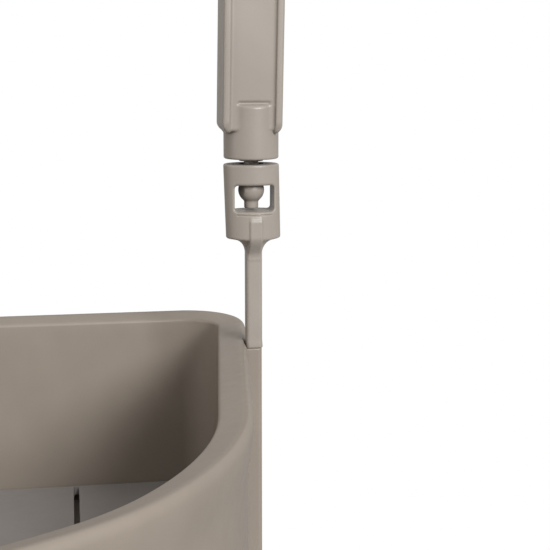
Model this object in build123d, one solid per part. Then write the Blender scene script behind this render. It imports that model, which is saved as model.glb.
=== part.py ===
from build123d import *
import os
import math

# Hanging toiletry caddy: a moulded D-shaped basket hung from a channel-section
# bail by two drop rods, each with a yoke that hangs on a ball stud.
# Frame: origin on the axis of the rail that the hook hangs on. +X right,
# +Y towards the wall behind, +Z up. Millimetres.

# ---- driving dimensions -------------------------------------------------
Z_LINK = -236.0          # datum of both links, below the rail axis
BALL_DZ = -0.4           # ball centres, from that datum
X_BALL = 124.15          # ball centres either side of the centre plane
X_LEG = 123.6            # channel centre at the foot of each leg

# hook
RAIL_R = 12.5            # radius of the rail that the lined hook seats on
LINER_T = 1.5            # soft liner thickness
HOOK_T = 6.0             # hook web thickness
HOOK_W = 11.0            # hook width along the rail
HOOK_PIN_R = 4.0         # swivel shank radius
HOOK_COLLAR_R = 8.0

# hanger bail (U channel, web at the front, open at the back)
CH_W = 15.7              # channel width
CH_D = 14.4              # channel depth
CH_WEB = 2.2             # web thickness
CH_FL = 2.0              # flange thickness
CH_LIP = 1.1             # flange edges stand proud of the web
WEB_END = 15.4           # web ends above the ball centre
WEB_THICK = 31.4         # and is thick up to here, round the stud's shank
BARREL_R = 7.3          # barrel at the foot of each leg
BARREL_BOT = 8.0         # barrel bottom above the ball centre
BARREL_TOP = 22.6        # barrel top inside the channel
FLANGE_END = 14.6        # side flanges end above the ball centre
LEG_LEAN = 1.1           # legs spread upwards, degrees
LEG_TOP = 92.0           # leg joins the shoulder arc, above the ball centre
HUB_R = 12.0             # boss that the hook swivels in
HUB_H = 22.0

# ball stud
BALL_R = 3.47
TAIL_R = 1.9
NECK_R = 1.9
SHOULDER_R = 3.03
SHANK_R = 2.5
COLLAR_LOW = 7.35        # stud collar, high enough to clear the tilted yoke
NUT_Z = 26.0             # washer and push nut sit here on the shank
SHANK_TOP = 31.6
TAIL_END = -5.3

# yoke and drop rod
RING_TOP = 6.6
WIN_TOP = 1.07
SILL = -5.85
COLLAR_BOT = -13.35
FLARE_END = -17.2
YOKE_D = 11.2            # yoke depth, front to back
WIN_X0 = 119.3           # window, side to side
WIN_X1 = 129.7
SEAT_R = 3.52            # spherical seat radius
ROD_W = 4.3
ROD_D = 4.3
X_ROD = 124.68           # rod centre, either side
ROD_END = -43.4          # rod meets the side post
SPIGOT_R = 1.25
SPIGOT_L = 11.0

# basket, seen from above: straight back, tapered sides, bowed front
RIM_Z = -41.6            # rim top, from the ball centre
BASE_Z = -104.5          # skirt edge
FLOOR_Z = -93.2          # top of the slotted floor
YB = 43.2                # back edge of the rim, behind the rods
WH = 125.8               # half width at the back
RC = 18.0                # back corner radius
TAP = 6.8                # side taper, degrees
LS = 87.0                # length of the straight side
A1 = 36.9                # heading change at the end of the first front arc
A2 = 55.2                # and of the second
R1 = 103.7
R2 = 68.7
LIP_W = 8.0              # rim width
LIP_T = 2.6              # rim thickness
OVERHANG = 1.4           # rim beyond the skirt
SKIRT_T = 2.0
TUB_T = 1.8
LEDGE_W = 7.0            # ledge that the floor panel rests on
PANEL_T = 2.4
PANEL_GAP = 0.25
SLOT_W = 1.62
SLOT_PITCH = 37.8
POST_OUT = 126.6         # outer face of the side posts
POST_D = 6.4             # post, front to back
RIVET_R = 1.2
BOTTOM_T = 1.8           # closed bottom under the floor panel
DRAIN_R = 2.5            # drain holes in the bottom

ZB = Z_LINK
ZS = ZB + BALL_DZ        # ball centre height


# ---- plan outline of the basket, offset inwards by o --------------------
def plan_points(o):
    x0 = WH - RC
    c0 = (x0, YB - RC)
    t = math.radians(-TAP)
    n = (math.cos(t), math.sin(t))
    d = (n[1], -n[0])
    p = (c0[0] + RC * n[0], c0[1] + RC * n[1])
    p1 = (p[0] + d[0] * LS, p[1] + d[1] * LS)
    c1 = (p1[0] - n[0] * R1, p1[1] - n[1] * R1)
    n1 = (math.cos(math.radians(-A1)), math.sin(math.radians(-A1)))
    p2 = (c1[0] + R1 * n1[0], c1[1] + R1 * n1[1])
    c2 = (p2[0] - n1[0] * R2, p2[1] - n1[1] * R2)
    n2 = (math.cos(math.radians(-A2)), math.sin(math.radians(-A2)))
    p3 = (c2[0] + R2 * n2[0], c2[1] + R2 * n2[1])
    r3 = p3[0] / n2[0]
    c3 = (0.0, p3[1] - n2[1] * r3)

    def on(c, r, a):
        return (c[0] + (r - o) * math.cos(math.radians(a)), c[1] + (r - o) * math.sin(math.radians(a)))
    return {
        "b": (x0, YB - o),
        "cm": on(c0, RC, (90 - TAP) / 2), "ce": on(c0, RC, -TAP),
        "s": (p1[0] - n[0] * o, p1[1] - n[1] * o),
        "m1": on(c1, R1, -(TAP + A1) / 2), "e1": on(c1, R1, -A1),
        "m2": on(c2, R2, -(A1 + A2) / 2), "e2": on(c2, R2, -A2),
        "f": on(c3, r3, -90),
    }


def plan_face(o, z):
    q = plan_points(o)
    R = {k: (v[0], v[1], z) for k, v in q.items()}
    L = {k: (-v[0], v[1], z) for k, v in q.items()}
    edges = [
        Line(L["b"], R["b"]),
        ThreePointArc(R["b"], R["cm"], R["ce"]),
        Line(R["ce"], R["s"]),
        ThreePointArc(R["s"], R["m1"], R["e1"]),
        ThreePointArc(R["e1"], R["m2"], R["e2"]),
        ThreePointArc(R["e2"], R["f"], L["e2"]),
        ThreePointArc(L["e2"], L["m2"], L["e1"]),
        ThreePointArc(L["e1"], L["m1"], L["s"]),
        Line(L["s"], L["ce"]),
        ThreePointArc(L["ce"], L["cm"], L["b"]),
    ]
    return make_face(Curve() + edges)


def slab(o, z0, z1):
    return extrude(plan_face(o, z0), amount=z1 - z0, dir=(0, 0, 1))


def ring(o0, o1, z0, z1):
    return slab(o0, z0, z1) - slab(o1, z0 - 1, z1 + 1)


def box(x0, x1, y0, y1, z0, z1):
    return Pos((x0 + x1) / 2, (y0 + y1) / 2, (z0 + z1) / 2) * Box(x1 - x0, y1 - y0, z1 - z0)


def cyl(x, y, z0, z1, r):
    return Pos(x, y, (z0 + z1) / 2) * Cylinder(r, z1 - z0)


def cone(x, y, z0, z1, r0, r1):
    return Pos(x, y, (z0 + z1) / 2) * Cone(r0, r1, z1 - z0)


def ycyl(x, y0, y1, z, r):
    return Pos(x, (y0 + y1) / 2, z) * Rot(90, 0, 0) * Cylinder(r, y1 - y0)


def xcyl(x0, x1, y, z, r):
    return Pos((x0 + x1) / 2, y, z) * Rot(0, 90, 0) * Cylinder(r, x1 - x0)


def one(shape):
    s = shape.solids()
    return s[0] if len(s) == 1 else Compound(children=list(s))


def flip(shape):
    return mirror(shape, about=Plane.YZ)


# ---- basket shell -------------------------------------------------------
zr, zb, zf = ZB + RIM_Z, ZB + BASE_Z, ZB + FLOOR_Z
IN_O = LIP_W - TUB_T
shell = ring(0, LIP_W, zr - LIP_T, zr)
shell += ring(OVERHANG, OVERHANG + SKIRT_T, zb, zr - LIP_T)
shell += ring(IN_O, LIP_W, zf - PANEL_T - 2.2, zr - LIP_T)
shell += ring(LIP_W - 0.1, LIP_W + LEDGE_W, zf - PANEL_T - 2.2, zf - PANEL_T)
# the ledge is open under the slots' back ends
for i in (-2, -1, 0, 1, 2):
    xs = i * SLOT_PITCH
    shell -= box(xs - 2.2, xs + 2.2, 20, YB - LIP_W - 0.02, zf - PANEL_T - 3, zf - PANEL_T + 1)
# two cross members and a spine under the floor panel
inner = slab(LIP_W - 0.1, zf - PANEL_T - 2.2, zf - PANEL_T)
members = box(-130, 130, -24, -20, zf - PANEL_T - 2.2, zf - PANEL_T)
members += box(-130, 130, -88, -84, zf - PANEL_T - 2.2, zf - PANEL_T)
for xs in (-56.7, -18.9, 18.9, 56.7):
    members += box(xs - 2, xs + 2, -170, 60, zf - PANEL_T - 2.2, zf - PANEL_T)
# the cross members are broken under the slots, for the water
for i in (-2, -1, 0, 1, 2):
    xs = i * SLOT_PITCH
    members -= box(xs - 4, xs + 4, -170, 60, zf - PANEL_T - 3, zf - PANEL_T + 1)
shell += inner & members
# closed bottom with drain holes between the bearers
z_bot = zf - PANEL_T - 2.2
shell += slab(IN_O, z_bot - BOTTOM_T, z_bot)
for xs in (-47.2, -28.4, -9.5, 9.5, 28.4, 47.2):
    for ys in (10.0, -54.0):
        shell -= cyl(xs, ys, z_bot - BOTTOM_T - 1, z_bot + 1, DRAIN_R)
# webs that join the skirt to the tub wall, below the rim
webs = box(-100, -98, 30, 45, zb + 8, zr - LIP_T)
for xs in (-60, -20, 20, 60):
    webs += box(xs - 1, xs + 1, 30, 45, zb + 8, zr - LIP_T)
    webs += box(xs - 1, xs + 1, -160, -90, zb + 8, zr - LIP_T)
webs += box(98, 100, 30, 45, zb + 8, zr - LIP_T)
for ys in (-60, -30, 14):
    webs += box(-130, 130, ys - 1, ys + 1, zb + 8, zr - LIP_T)
gapring = ring(OVERHANG + SKIRT_T - 0.1, IN_O + 0.1, zb + 8, zr - LIP_T + 0.1)
shell += gapring & webs
# seat for each side post: flat pad on the skirt, notch through the rim
WALL_X = 122.0           # flat face that the post sits on
for s in (1, -1):
    xa, xb = sorted((s * (WALL_X - 3.2), s * WALL_X))
    pad = box(xa, xb, -POST_D / 2 - 1.2, POST_D / 2 + 1.2, zb, zr - LIP_T)
    shell += pad
    xa, xb = sorted((s * WALL_X, s * (WALL_X + 8)))
    shell -= box(xa, xb, -POST_D / 2 - 0.05, POST_D / 2 + 0.05, zb - 1, zr + 1)
    for zz in (zr - 20, zr - 46):
        xa, xb = sorted((s * (WALL_X - 5), s * (WALL_X + 1)))
        shell -= xcyl(xa, xb, 0, zz, RIVET_R + 0.05)
shell = one(shell)

# ---- slotted floor panel ------------------------------------------------
panel = slab(LIP_W + PANEL_GAP, zf - PANEL_T, zf)
for i in (-2, -1, 0, 1, 2):
    x = i * SLOT_PITCH
    y_front = {0: -118, 1: -112, 2: -92}[abs(i)]
    panel -= box(x - SLOT_W / 2, x + SLOT_W / 2, y_front, YB - LIP_W - PANEL_GAP - 1.2, zf - PANEL_T - 1, zf + 1)
panel = one(panel)


# ---- side post, drop rod, stud (right-hand ones; the left are mirrored) --
post = box(WALL_X, POST_OUT, -POST_D / 2, POST_D / 2, zb + 0.4, ZB + ROD_END)
post = fillet(post.edges().filter_by(Axis.Z).group_by(Axis.X)[-1], 1.2)
post -= cyl(X_ROD, 0, ZB + ROD_END - SPIGOT_L - 0.5, ZB + ROD_END + 1, SPIGOT_R + 0.02)
for zz in (zr - 20, zr - 46):
    post -= xcyl(WALL_X - 1, WALL_X + 3.0, 0, zz, RIVET_R)
post = one(post)

# push rivets through the skirt pad into the post
def rivet(s, zz):
    xa, xb = sorted((s * (WALL_X - 3.2), s * (WALL_X + 2.9)))
    body = xcyl(xa, xb, 0, zz, RIVET_R)
    xa, xb = sorted((s * (WALL_X - 3.7), s * (WALL_X - 3.2)))
    return body + xcyl(xa, xb, 0, zz, 2.1)


rivets = Compound(children=[rivet(s, zz).solids()[0] for s in (1, -1) for zz in (zr - 20, zr - 46)])

# yoke: elliptical block that narrows into the rod
xl_t, xr_t = 116.7, 131.6
xl_b, xr_b = 117.35, 132.0
body = loft([
    Pos((xl_t + xr_t) / 2, 0, ZB + RING_TOP) * Ellipse((xr_t - xl_t) / 2, YOKE_D / 2),
    Pos((xl_b + xr_b) / 2, 0, ZB + COLLAR_BOT + 1.0) * Ellipse((xr_b - xl_b) / 2, YOKE_D / 2),
])
body = fillet(body.edges().group_by(Axis.Z)[-1], 0.6)
neck = loft([
    Pos((xl_b + xr_b) / 2, 0, ZB + COLLAR_BOT + 1.0) * Ellipse((xr_b - xl_b) / 2, YOKE_D / 2),
    Pos(X_ROD - 0.1, 0, ZB + COLLAR_BOT - 1.6) * Ellipse(4.0, 3.6),
    Pos(X_ROD, 0, ZB + FLARE_END) * Ellipse(2.3, 2.4),
])
rod = box(X_ROD - ROD_W / 2, X_ROD + ROD_W / 2, -ROD_D / 2, ROD_D / 2, ZB + ROD_END, ZB + COLLAR_BOT)
rod = fillet(rod.edges().filter_by(Axis.Z), 0.9)
yoke = body + neck + rod
win = box(WIN_X0, WIN_X1, -10, 10, ZB + SILL, ZB + WIN_TOP)
win = fillet(win.edges().filter_by(Axis.Y), 0.9)
yoke -= win
yoke -= Pos(X_BALL, 0, ZS) * Sphere(SEAT_R)
yoke -= cone(X_BALL, 0, ZS + 2.2, ZB + RING_TOP + 0.5, 2.45, 3.40)
yoke += cyl(X_ROD, 0, ZB + ROD_END - SPIGOT_L, ZB + ROD_END + 0.5, SPIGOT_R)
yoke = one(yoke)

stud = cyl(X_BALL, 0, ZB + TAIL_END, ZS - 1.0, TAIL_R)
stud = fillet(stud.edges().group_by(Axis.Z)[0], 0.3)
stud += Pos(X_BALL, 0, ZS) * Sphere(BALL_R)
stud += cyl(X_BALL, 0, ZB + 1.0, ZB + 7.5, NECK_R)
stud += cyl(X_BALL, 0, ZB + COLLAR_LOW, ZB + COLLAR_LOW + 0.4, SHOULDER_R + 0.25)
stud += cyl(X_BALL, 0, ZB + COLLAR_LOW + 0.3, ZB + BARREL_BOT, SHOULDER_R)
stud += cyl(X_BALL, 0, ZB + BARREL_BOT, ZB + SHANK_TOP, SHANK_R)
stud = one(stud)

# push nut and washer on the stud, inside the channel
washer = cyl(X_BALL, 0, ZB + NUT_Z, ZB + NUT_Z + 0.8, 4.2) - cyl(X_BALL, 0, ZB + NUT_Z - 1, ZB + NUT_Z + 2, SHANK_R + 0.05)
washer = one(washer)
zn = ZB + NUT_Z + 0.8
nut = cyl(X_BALL, 0, zn, zn + 0.6, 4.4) + cone(X_BALL, 0, zn + 0.6, zn + 1.7, 3.9, 3.1)
nut -= cyl(X_BALL, 0, zn - 1, zn + 4, SHANK_R)
for a in (0, 60, 120):
    nut -= Pos(X_BALL, 0, zn + 0.8) * Rot(0, 0, a) * Box(6.8, 0.5, 4)
nut = one(nut)

# ---- hanger bail --------------------------------------------------------
y0 = -CH_D / 2
y1 = CH_D / 2
lean = math.radians(LEG_LEAN)
zc = ZB + FLANGE_END
xleg_bot = X_LEG
xleg_top = X_LEG + math.tan(lean) * (LEG_TOP - FLANGE_END)
zt = ZB + LEG_TOP
# shoulder: arc tangent to the leg, then an arc to a level crown
CR = 62.0
hd = (math.sin(lean), math.cos(lean))


def band(h, z_low):
    # closed outline of the channel at half width h about its centre line
    # leg line up to the shoulder, shoulder arc of radius CR, long crown arc
    a0 = math.radians(LEG_LEAN)
    cxs = xleg_top - CR * math.cos(a0)
    czs = zt + CR * math.sin(a0)
    turn = math.radians(62.0)
    # shoulder arc runs from angle -a0 up to angle (turn - a0) about (cxs, czs)
    ang = turn - a0
    px = cxs + CR * math.cos(ang)
    pz = czs + CR * math.sin(ang)
    nx, nz = math.cos(ang), math.sin(ang)
    RB = px / nx
    cz2 = pz - nz * RB

    def s_pt(r, a):
        return (cxs + r * math.cos(a), czs + r * math.sin(a))

    def b_pt(r, a):
        return (r * math.cos(a), cz2 + r * math.sin(a))
    pts = {}
    for sgn, key in ((1, "o"), (-1, "i")):
        r_s = CR + sgn * h
        r_b = RB + sgn * h
        bx = xleg_bot + math.tan(lean) * (z_low - zc) + sgn * h / math.cos(a0)
        pts[key] = {
            "low": (bx, z_low),
            "leg": s_pt(r_s, -a0), "sm": s_pt(r_s, (ang - a0) / 2), "se": s_pt(r_s, ang),
            "c": b_pt(r_b, math.pi / 2),
        }
    return pts, cz2 + RB


def band_face(h, z_low, y):
    pts, crown = band(h, z_low)
    P = lambda q: (q[0], y, q[1])
    M = lambda q: (-q[0], y, q[1])
    o, i = pts["o"], pts["i"]
    e = [
        Line(P(o["low"]), P(o["leg"])), ThreePointArc(P(o["leg"]), P(o["sm"]), P(o["se"])),
        ThreePointArc(P(o["se"]), P(o["c"]), M(o["se"])),
        ThreePointArc(M(o["se"]), M(o["sm"]), M(o["leg"])), Line(M(o["leg"]), M(o["low"])),
        Line(M(o["low"]), M(i["low"])), Line(M(i["low"]), M(i["leg"])),
        ThreePointArc(M(i["leg"]), M(i["sm"]), M(i["se"])),
        ThreePointArc(M(i["se"]), P(i["c"]), P(i["se"])),
        ThreePointArc(P(i["se"]), P(i["sm"]), P(i["leg"])), Line(P(i["leg"]), P(i["low"])),
        Line(P(i["low"]), P(o["low"])),
    ]
    return make_face(Curve() + e), crown


outer_f, crown_z = band_face(CH_W / 2, zc, y0)
inner_f, _ = band_face(CH_W / 2 - CH_FL, zc - 5, y0 + CH_LIP + CH_WEB)
front_f, _ = band_face(CH_W / 2 - 1.5, zc - 5, y0 - 1)
bail = extrude(outer_f, amount=CH_D, dir=(0, 1, 0))
for s in (1, -1):
    xx = s * xleg_bot
    corner = bail.edges().filter_by(Axis.X).filter_by(lambda e: abs(e.center().Z - zc) < 0.01 and e.center().X * s > 0)
    bail = fillet(corner, 3.4)
bail -= extrude(inner_f, amount=CH_D, dir=(0, 1, 0))
bail -= extrude(front_f, amount=CH_LIP + 1, dir=(0, 1, 0))
for s in (1, -1):
    xx = s * X_LEG
    hw = CH_W / 2 - CH_FL
    bail -= box(xx - hw, xx + hw, y0 - 1, y1 + 1, zc - 1, ZB + WEB_END)
    foot = box(xx - hw - 0.3, xx + hw + 0.3, y0 + CH_LIP, 2.0, ZB + WEB_END, ZB + WEB_THICK)
    foot = fillet(foot.edges().filter_by(Axis.X).group_by(Axis.Z)[0].group_by(Axis.Y)[0], 0.8)
    bail += foot
    bail += cyl(s * X_BALL, 0, ZB + BARREL_BOT, ZB + BARREL_TOP, BARREL_R)
    bail += box(s * X_BALL - 5.0, s * X_BALL + 5.0, 0, 5.2, ZB + BARREL_TOP - 1, ZB + NUT_Z)
    bail = bail - cyl(s * X_BALL, 0, ZB + NUT_Z, ZB + NUT_Z + 11, 4.7)
# cross webs inside the channel
pts_c, _ = band(CH_W / 2, zc)
for s in (1, -1):
    for zz in (ZB + 44.0, ZB + 66.0, ZB + 88.0):
        xx = s * (xleg_bot + math.tan(lean) * (zz - zc))
        bail += box(xx - CH_W / 2 + 1, xx + CH_W / 2 - 1, y0 + 1, y1 - 3.5, zz - 0.8, zz + 0.8)
# hub at the crown
z_hub0 = crown_z - HUB_H / 2
z_hub1 = crown_z + HUB_H / 2
bail += cyl(0, 0, z_hub0, z_hub1, HUB_R)
bail += box(-HUB_R, HUB_R, y0, 0, crown_z - CH_W / 2, crown_z + CH_W / 2)
bail -= cyl(0, 0, z_hub0 - 1, z_hub1 + 1, HOOK_PIN_R + 0.05)
bail -= cyl(0, 0, z_hub0 - 1, z_hub0 + 7.0, 8.0)
for s in (1, -1):
    bail -= cyl(s * X_BALL, 0, ZB + BARREL_BOT - 1, ZB + NUT_Z + 1, SHANK_R)
bail = one(bail)
print("crown centre line z", round(crown_z, 2), "above ball", round(crown_z - ZB, 2))

# ---- swivel hook --------------------------------------------------------
ri = RAIL_R + LINER_T
rc = ri + HOOK_T / 2     # centre line of the hook round the rail
MOUTH_R = 29.0           # centre line of the lower bend, wide enough for the rail to pass
phi = math.radians(55.0)
z_top = z_hub1 + 1.0     # underside of the collar sits on the thrust washer


def yz(r, a, c=(0.0, 0.0)):
    return (0, c[0] + r * math.cos(a), c[1] + r * math.sin(a))


c_mid = (rc - MOUTH_R, 0.0)
r_low = (c_mid[0] + MOUTH_R * math.cos(phi)) / (1 - math.cos(phi))
c_low = (r_low, -(MOUTH_R + r_low) * math.sin(phi))
path = Curve() + [
    ThreePointArc(yz(rc, math.pi), yz(rc, math.pi / 2), yz(rc, 0)),
    ThreePointArc(yz(rc, 0), yz(MOUTH_R, -phi / 2, c_mid), yz(MOUTH_R, -phi, c_mid)),
    ThreePointArc(yz(MOUTH_R, -phi, c_mid), yz(r_low, math.pi - phi / 2, c_low), yz(r_low, math.pi, c_low)),
    Line(yz(r_low, math.pi, c_low), (0, 0, c_low[1] - 6.0)),
]
start = Plane(origin=path @ 0, x_dir=(1, 0, 0), z_dir=path % 0)
section = start * RectangleRounded(HOOK_W, HOOK_T, 2.2)
hook = sweep(section, path=path)
tip_p = yz(rc, math.pi)
hook += extrude(Plane.YZ * Pos(tip_p[1], tip_p[2]) * Circle(HOOK_T / 2 + 0.6), amount=HOOK_W / 2, both=True)
z_neck = c_low[1] - 4.0
hook += cone(0, 0, z_neck - 4.0, z_neck + 2.5, HOOK_COLLAR_R, 5.2)
hook += cyl(0, 0, z_top, z_neck - 3.9, HOOK_COLLAR_R)
hook += cyl(0, 0, z_hub0 + 3.2, z_top + 0.5, HOOK_PIN_R)
hook = one(hook)
print("hub", round(z_hub0, 2), round(z_hub1, 2), "collar", round(z_top, 2), round(z_neck, 2))

lin2d = Plane.YZ * (Circle(ri) - Circle(RAIL_R))
liner = extrude(lin2d, amount=HOOK_W / 2 - 1.0, both=True)
liner -= box(-HOOK_W, HOOK_W, -30, 30, -30, 0)
liner = one(liner)
hook = one(hook - extrude(Plane.YZ * Circle(ri), amount=HOOK_W, both=True))

thrust = cyl(0, 0, z_hub1, z_top, 8.5) - cyl(0, 0, z_hub1 - 1, z_top + 1, HOOK_PIN_R + 0.05)
thrust = one(thrust)
# washer and push nut in the counterbore under the hub
cb = z_hub0 + 7.0
hwash = cyl(0, 0, cb - 0.8, cb, 7.2) - cyl(0, 0, cb - 2, cb + 1, HOOK_PIN_R + 0.05)
hwash = one(hwash)
hnut = cyl(0, 0, cb - 1.6, cb - 0.85, 6.6) + cone(0, 0, cb - 2.8, cb - 1.6, 4.9, 5.8)
hnut -= cyl(0, 0, cb - 5, cb + 1, HOOK_PIN_R)
for a in (0, 60, 120):
    hnut -= Pos(0, 0, cb - 1.9) * Rot(0, 0, a) * Box(11.0, 0.6, 3.0)
hnut = one(hnut)
cap = cyl(0, 0, z_hub0 - 1.6, z_hub0, 9.2) + cyl(0, 0, z_hub0, z_hub0 + 1.6, 8.0)
cap = fillet(cap.edges().group_by(Axis.Z)[0], 0.9)
cap -= cyl(0, 0, z_hub0 + 0.2, z_hub0 + 3, 6.6)
cap = one(cap)

# ---- write --------------------------------------------------------------
os.makedirs("parts", exist_ok=True)
nodes = {
    "basket_shell": shell,
    "drain_floor": panel,
    "side_post_right": post,
    "side_post_left": flip(post),
    "post_rivets": rivets,
    "drop_rod_right": yoke,
    "drop_rod_left": flip(yoke),
    "ball_stud_right": stud,
    "ball_stud_left": flip(stud),
    "stud_washer_right": washer,
    "stud_washer_left": flip(washer),
    "stud_push_nut_right": nut,
    "stud_push_nut_left": flip(nut),
    "hanger_bail": bail,
    "swivel_hook": hook,
    "hook_liner": liner,
    "hook_thrust_washer": thrust,
    "hook_lower_washer": hwash,
    "hook_push_nut": hnut,
    "hub_cap": cap,
}
for name, shape in nodes.items():
    export_step(shape, "parts/" + name + ".step")
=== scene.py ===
import bpy
import bmesh
import math
import numpy as np
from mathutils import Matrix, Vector


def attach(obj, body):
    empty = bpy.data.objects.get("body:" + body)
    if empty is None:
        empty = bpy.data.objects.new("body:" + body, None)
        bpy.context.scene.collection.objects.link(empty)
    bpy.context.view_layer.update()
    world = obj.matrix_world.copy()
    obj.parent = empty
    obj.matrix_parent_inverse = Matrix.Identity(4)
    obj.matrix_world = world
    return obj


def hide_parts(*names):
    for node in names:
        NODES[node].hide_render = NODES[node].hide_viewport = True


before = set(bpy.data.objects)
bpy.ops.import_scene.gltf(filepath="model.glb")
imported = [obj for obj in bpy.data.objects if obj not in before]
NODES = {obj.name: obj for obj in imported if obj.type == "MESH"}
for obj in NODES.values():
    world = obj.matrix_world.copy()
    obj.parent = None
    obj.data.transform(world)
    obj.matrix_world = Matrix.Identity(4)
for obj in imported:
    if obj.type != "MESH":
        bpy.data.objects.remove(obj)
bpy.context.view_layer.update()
scene = bpy.context.scene

# The hanging caddy's looks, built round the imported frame. Shapes are worked
# out in millimetres in the frame's own axes and written to meshes in metres.

# ---- dimensions shared with the CAD model (mm) -----------------------------
ZB = -236.0
XB, XL = 124.15, 123.6      # ball centre and channel centre
BZ = -0.4                   # ball centre above the links' datum
RIM, BASE, FLOOR = ZB - 41.6, ZB - 104.5, ZB - 93.2
LIP_W, LIP_T, OVER, SKIRT_T, TUB_T, LEDGE_W, PANEL_T = 8.0, 2.6, 1.4, 2.0, 1.8, 7.0, 2.4
WALL_X, POST_OUT, POST_D = 122.0, 126.6, 6.4
X_ROD, ROD_END = 124.68, -43.4
CH_W, CH_D, CH_LIP, CH_WEB, CH_FL = 15.7, 14.4, 1.1, 2.2, 2.0
WEB_END, FLANGE_END, BAR_R, BAR_BOT, BAR_TOP, NUT_Z = 15.4, 14.6, 7.3, 8.0, 22.6, 26.0
LEAN = math.radians(1.1)
CR = 62.0


# ---- distance-field helpers ---------------------------------------------------
def both(a, b, r):
    """Overlap of two shapes with its edge rounded to radius r."""
    if r <= 0:
        return np.maximum(a, b)
    return np.minimum(-r, np.maximum(a, b)) + np.hypot(np.maximum(a + r, 0), np.maximum(b + r, 0))


def join(a, b, r):
    """Union of two shapes with a fillet of radius r."""
    if r <= 0:
        return np.minimum(a, b)
    return np.maximum(r, np.minimum(a, b)) - np.hypot(np.maximum(r - a, 0), np.maximum(r - b, 0))


def cut(a, b, r):
    return both(a, -b, r)


def slab(v, lo, hi):
    return np.abs(v - (lo + hi) / 2) - (hi - lo) / 2


def ramp(v, a, b):
    t = np.clip((v - a) / (b - a), 0, 1)
    return t * t * (3 - 2 * t)


def steps(*spans):
    """Grid lines from (start, spacing) pairs, closed by a last plain number."""
    out = []
    for (a, d), nxt in zip(spans[:-1], [s[0] if isinstance(s, tuple) else s for s in spans[1:]]):
        n = max(1, int(round((nxt - a) / d)))
        out += list(a + (nxt - a) * np.arange(n) / n)
    out.append(spans[-1])
    return np.array(out, float)


def polygonize(f, xs, ys, zs, rounds=3):
    """Quads on the surface where f is zero: one point in each grid cell that it crosses, then moved onto it."""
    ax3 = (np.asarray(xs, float), np.asarray(ys, float), np.asarray(zs, float))
    X, Y, Z = np.meshgrid(*ax3, indexing="ij")
    V = f(X, Y, Z)
    V = np.where(np.abs(V) < 1e-9, 1e-9, V)
    S = V < 0
    shape = tuple(len(a) - 1 for a in ax3)
    total = shape[0] * shape[1] * shape[2]
    sums = np.zeros((3, total))
    count = np.zeros(total)
    found = []
    for ax in range(3):
        va, sa = np.moveaxis(V, ax, 0), np.moveaxis(S, ax, 0)
        o0, o1 = [o for o in range(3) if o != ax]
        i, j, k = np.nonzero(sa[:-1] != sa[1:])
        v0, v1 = va[i, j, k], va[i + 1, j, k]
        t = v0 / (v0 - v1)
        p = np.zeros((3, len(i)))
        p[ax] = ax3[ax][i] + t * (ax3[ax][i + 1] - ax3[ax][i])
        p[o0] = ax3[o0][j]
        p[o1] = ax3[o1][k]
        found.append((ax, o0, o1, i, j, k, sa[i, j, k]))
        for dj in (0, 1):
            for dk in (0, 1):
                cj, ck = j - dj, k - dk
                ok = (cj >= 0) & (ck >= 0) & (cj < shape[o0]) & (ck < shape[o1])
                idx = [None] * 3
                idx[ax], idx[o0], idx[o1] = i[ok], cj[ok], ck[ok]
                flat = np.ravel_multi_index(tuple(idx), shape)
                count += np.bincount(flat, minlength=total)
                for c in range(3):
                    sums[c] += np.bincount(flat, weights=p[c][ok], minlength=total)
    used = np.nonzero(count)[0]
    number = np.full(total, -1)
    number[used] = np.arange(len(used))
    P = (sums[:, used] / count[used]).T
    quads = []
    for ax, o0, o1, i, j, k, inside in found:
        ok = (j >= 1) & (k >= 1) & (j < len(ax3[o0]) - 1) & (k < len(ax3[o1]) - 1)
        i, j, k, inside = i[ok], j[ok], k[ok], inside[ok]
        corner = []
        for dj, dk in ((1, 1), (0, 1), (0, 0), (1, 0)):
            idx = [None] * 3
            idx[ax], idx[o0], idx[o1] = i, j - dj, k - dk
            corner.append(number[np.ravel_multi_index(tuple(idx), shape)])
        q = np.stack(corner, 1)
        flipped = inside if ax == 1 else ~inside
        q[flipped] = q[flipped][:, ::-1]
        quads.append(q)
    quads = np.concatenate(quads)
    h = 0.01
    for _ in range(rounds):
        v = f(P[:, 0], P[:, 1], P[:, 2])
        g = np.zeros_like(P)
        for c in range(3):
            e = np.zeros(3)
            e[c] = h
            a, b = P + e, P - e
            g[:, c] = (f(a[:, 0], a[:, 1], a[:, 2]) - f(b[:, 0], b[:, 1], b[:, 2])) / (2 * h)
        gg = np.maximum((g * g).sum(1), 0.05)
        move = -g * (v / gg)[:, None]
        size = np.linalg.norm(move, axis=1)
        move *= (np.minimum(size, 0.12) / np.maximum(size, 1e-12))[:, None]
        P = P + move
    return P, quads


def build(name, points, faces, material, body, smooth=True, mirror=False, weld=1e-6):
    me = bpy.data.meshes.new(name)
    pts = np.asarray(points, float) * 0.001
    me.from_pydata(pts.tolist(), [], [list(map(int, q)) for q in faces])
    me.validate(verbose=False)
    bm = bmesh.new()
    bm.from_mesh(me)
    if mirror:
        made = bmesh.ops.duplicate(bm, geom=bm.verts[:] + bm.edges[:] + bm.faces[:])
        new = [g for g in made["geom"] if isinstance(g, bmesh.types.BMVert)]
        for v in new:
            v.co.x = -v.co.x
        bmesh.ops.reverse_faces(bm, faces=[g for g in made["geom"] if isinstance(g, bmesh.types.BMFace)])
    bmesh.ops.remove_doubles(bm, verts=bm.verts[:], dist=weld)
    bmesh.ops.recalc_face_normals(bm, faces=bm.faces[:])
    bm.to_mesh(me)
    bm.free()
    ob = bpy.data.objects.new(name, me)
    scene.collection.objects.link(ob)
    if smooth:
        me.polygons.foreach_set("use_smooth", [True] * len(me.polygons))
    me.materials.append(material)
    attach(ob, body)
    return ob


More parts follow.
